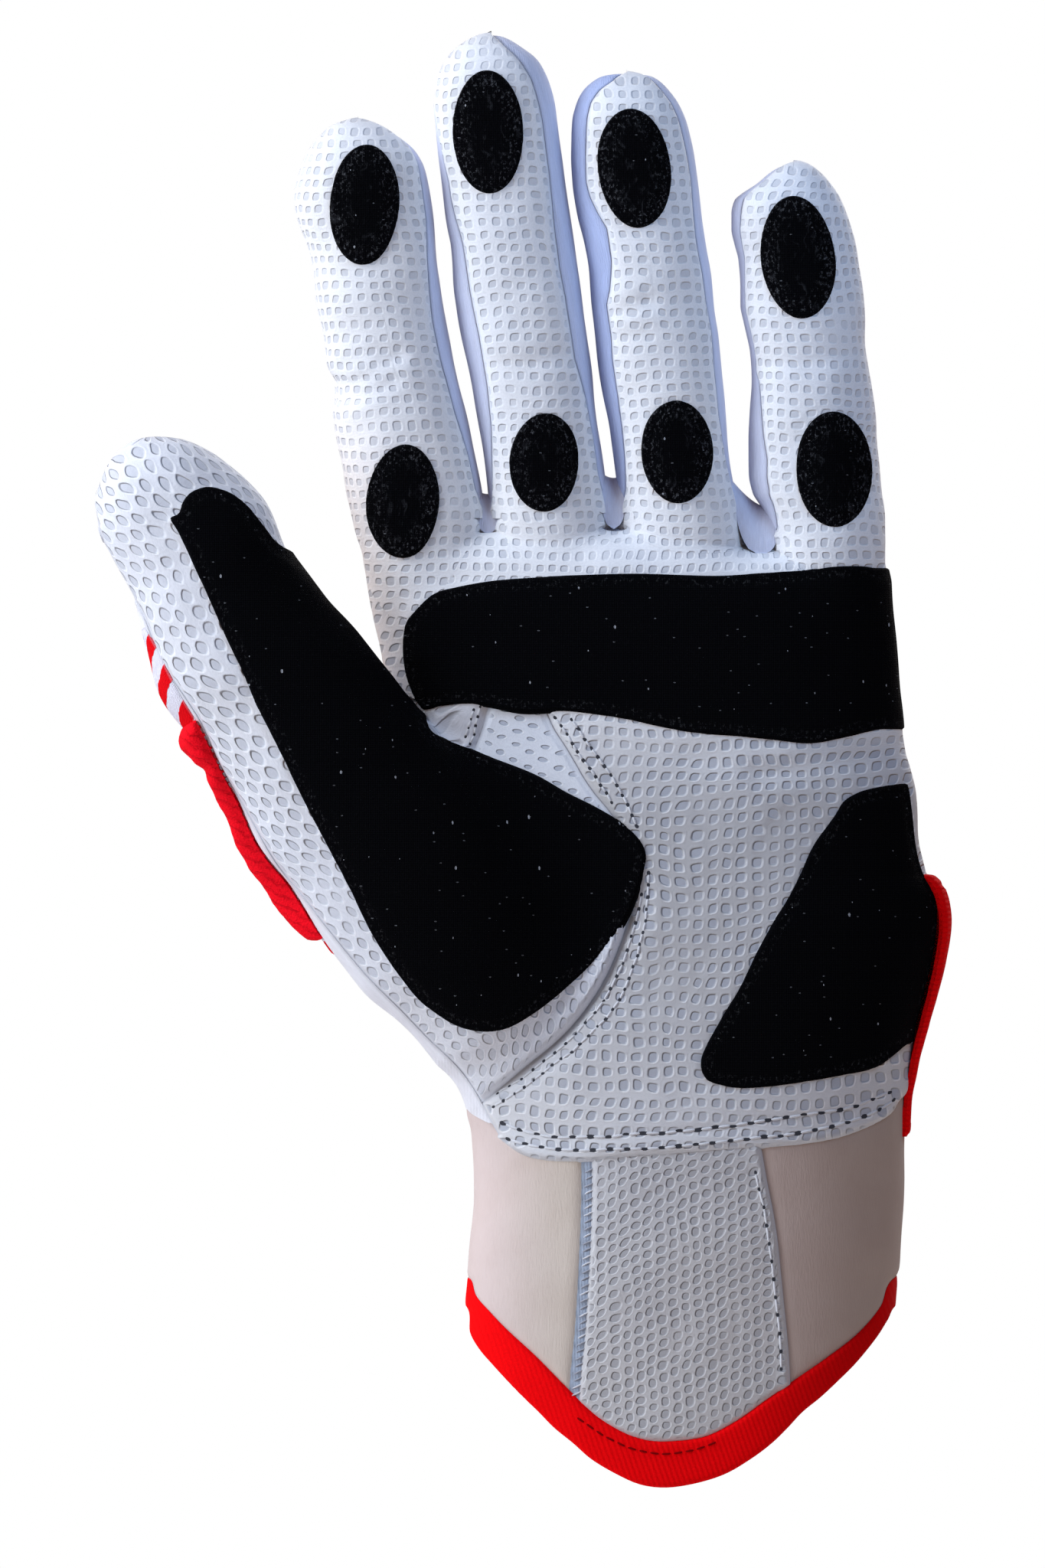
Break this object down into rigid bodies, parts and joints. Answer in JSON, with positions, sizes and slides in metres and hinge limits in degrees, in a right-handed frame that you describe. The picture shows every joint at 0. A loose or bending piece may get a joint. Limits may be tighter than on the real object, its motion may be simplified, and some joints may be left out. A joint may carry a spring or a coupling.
{
  "type": "batting glove",
  "caption": "Left-hand batting glove with embossed leather palm, black grip patches, stretch fabric between the fingers, padded thumb guard, cuff and wrist strap.",
  "frame": {"origin": "middle of the wrist opening, level with the sides of the hem", "axes": "+Z towards the fingertips, -Y is the way the palm faces, +X towards the little finger"},
  "size_m": [0.1476, 0.0501, 0.2496],
  "materials": {
    "white_leather": "embossed matte",
    "stretch_fabric": "matte stretch knit",
    "black_grip": "matte woven grip",
    "red_fabric": "matte knit",
    "cuff_pale": "matte smooth",
    "cuff_shade": "matte smooth",
    "back_stripe": "matte striped knit",
    "loop_pile": "looped pile",
    "hook_tape": "hook tape"
  },
  "bodies": {
    "hand": {"palm_leather": "white_leather", "thumb_base_leather": "white_leather", "thumb_crotch_insert": "stretch_fabric", "back_panel": "stretch_fabric", "palm_band_grip": "black_grip", "heel_grip": "black_grip", "thumb_grip_base": "black_grip", "thumb_guard_lower": "red_fabric", "cuff_radial_panel": "cuff_pale", "cuff_centre_panel": "white_leather", "cuff_ulnar_panel": "cuff_shade", "cuff_binding": "red_fabric", "strap_loop_patch": "loop_pile"},
    "thumb_lower": {"thumb_front_proximal": "white_leather", "thumb_back_proximal": "back_stripe", "thumb_grip_proximal": "black_grip", "thumb_guard_upper": "red_fabric"},
    "thumb_upper": {"thumb_front_distal": "white_leather", "thumb_back_distal": "back_stripe", "thumb_grip_distal": "black_grip"},
    "strap": {"closure_strap": "red_fabric", "strap_hook_patch": "hook_tape"},
    "index_lower": {"index_front_proximal": "white_leather", "index_back_proximal": "stretch_fabric", "index_side_proximal": "stretch_fabric", "index_base_grip": "black_grip"},
    "index_upper": {"index_front_distal": "white_leather", "index_back_distal": "stretch_fabric", "index_side_distal": "stretch_fabric", "index_tip_grip": "black_grip"},
    "middle_lower": {"middle_front_proximal": "white_leather", "middle_back_proximal": "stretch_fabric", "middle_side_proximal_radial": "stretch_fabric", "middle_side_proximal_ulnar": "stretch_fabric", "middle_base_grip": "black_grip"},
    "middle_upper": {"middle_front_distal": "white_leather", "middle_back_distal": "stretch_fabric", "middle_side_distal": "stretch_fabric", "middle_tip_grip": "black_grip"},
    "ring_lower": {"ring_front_proximal": "white_leather", "ring_back_proximal": "stretch_fabric", "ring_side_proximal_radial": "stretch_fabric", "ring_side_proximal_ulnar": "stretch_fabric", "ring_base_grip": "black_grip"},
    "ring_upper": {"ring_front_distal": "white_leather", "ring_back_distal": "stretch_fabric", "ring_side_distal": "stretch_fabric", "ring_tip_grip": "black_grip"},
    "little_lower": {"little_front_proximal": "white_leather", "little_back_proximal": "stretch_fabric", "little_side_proximal": "stretch_fabric", "little_base_grip": "black_grip"},
    "little_upper": {"little_front_distal": "white_leather", "little_back_distal": "stretch_fabric", "little_side_distal": "stretch_fabric", "little_tip_grip": "black_grip"}
  },
  "joints": [
    {"name": "index_base_fold", "type": "hinge", "parent": "hand", "child": "index_lower", "pos_m": [-0.04382, -0.01068, 0.13781], "axis": [0.9996, 0, 0.03], "range_deg": [0, 85]},
    {"name": "index_middle_fold", "type": "hinge", "parent": "index_lower", "child": "index_upper", "pos_m": [-0.0499, -0.0104, 0.16922], "axis": [0.9929, 0, 0.1191], "range_deg": [0, 90]},
    {"name": "middle_base_fold", "type": "hinge", "parent": "hand", "child": "middle_lower", "pos_m": [-0.0231, -0.01074, 0.1423], "axis": [0.9988, 0, 0.0499], "range_deg": [0, 85]},
    {"name": "middle_middle_fold", "type": "hinge", "parent": "middle_lower", "child": "middle_upper", "pos_m": [-0.02666, -0.01055, 0.17226], "axis": [0.9929, 0, 0.1191], "range_deg": [0, 90]},
    {"name": "ring_base_fold", "type": "hinge", "parent": "hand", "child": "ring_lower", "pos_m": [-0.00106, -0.01072, 0.14124], "axis": [0.9968, 0, 0.0797], "range_deg": [0, 85]},
    {"name": "ring_middle_fold", "type": "hinge", "parent": "ring_lower", "child": "ring_upper", "pos_m": [-0.00396, -0.01047, 0.17054], "axis": [0.995, 0, 0.0995], "range_deg": [0, 90]},
    {"name": "little_base_fold", "type": "hinge", "parent": "hand", "child": "little_lower", "pos_m": [0.02442, -0.01068, 0.13834], "axis": [0.9903, 0, 0.1386], "range_deg": [0, 85]},
    {"name": "little_middle_fold", "type": "hinge", "parent": "little_lower", "child": "little_upper", "pos_m": [0.02152, -0.01035, 0.16804], "axis": [0.995, 0, 0.0995], "range_deg": [0, 90]},
    {"name": "thumb_base_fold", "type": "hinge", "parent": "hand", "child": "thumb_lower", "pos_m": [-0.06217, -0.026, 0.09794], "axis": [0.8383, 0, 0.5452], "range_deg": [0, 50]},
    {"name": "thumb_middle_fold", "type": "hinge", "parent": "thumb_lower", "child": "thumb_upper", "pos_m": [-0.07828, -0.0244, 0.12514], "axis": [0.8383, 0, 0.5452], "range_deg": [0, 70]},
    {"name": "strap_peel", "type": "hinge", "parent": "hand", "child": "strap", "pos_m": [0.04465, -0.0052, 0.05808], "axis": [-0.14, 0, -0.9902], "range_deg": [0, 150]}
  ]
}
